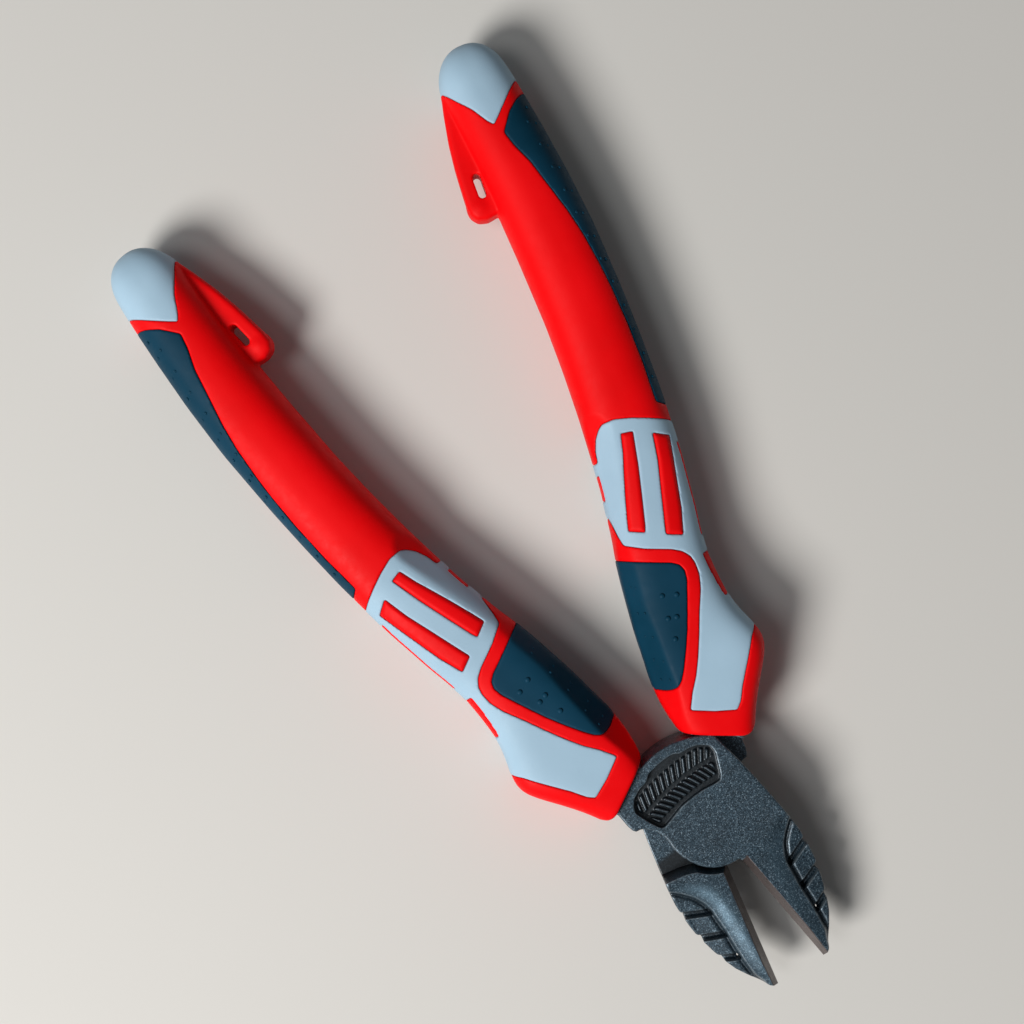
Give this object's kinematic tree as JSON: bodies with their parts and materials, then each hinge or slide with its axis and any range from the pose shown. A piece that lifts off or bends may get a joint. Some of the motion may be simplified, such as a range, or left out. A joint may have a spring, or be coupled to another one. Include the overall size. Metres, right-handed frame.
{
  "type": "side cutter",
  "caption": "Heavy-duty side cutter: lap-jointed dark forged jaws with ground cutting edges and long multi-material over-moulded handles with tether lugs.",
  "frame": {"origin": "on the pivot axis, at the flat back face of the lap joint", "axes": "+Z is the front face of the tool, along the pivot axis; +Y runs from the pivot to the jaw tips; +X is the side of the upper lever's handle"},
  "size_m": [0.0924, 0.1963, 0.019],
  "materials": {
    "forged_steel": "dark metallic-flake coating on forged steel, worn bright at the edges",
    "rivet_steel": "flush rivet under the same coating",
    "grip_red": "fine-grained hard red plastic",
    "grip_light": "soft light blue-grey elastomer",
    "grip_dark": "soft dark blue-grey elastomer with small raised dots"
  },
  "bodies": {
    "lower_handle": {"lower_lever": "forged_steel", "pivot_rivet": "rivet_steel", "lower_grip_core": "grip_red", "lower_end_cap": "grip_light", "lower_grip_cage": "grip_light", "lower_back_strip": "grip_dark", "lower_thumb_pad": "grip_dark"},
    "upper_handle": {"upper_lever": "forged_steel", "upper_grip_core": "grip_red", "upper_end_cap": "grip_light", "upper_grip_cage": "grip_light", "upper_back_strip": "grip_dark", "upper_thumb_pad": "grip_dark"}
  },
  "joints": [
    {"name": "pivot", "type": "hinge", "parent": "lower_handle", "child": "upper_handle", "pos_m": [0, 0, 0.0058], "axis": [0, 0, 1], "range_deg": [-17.1, 31]}
  ]
}
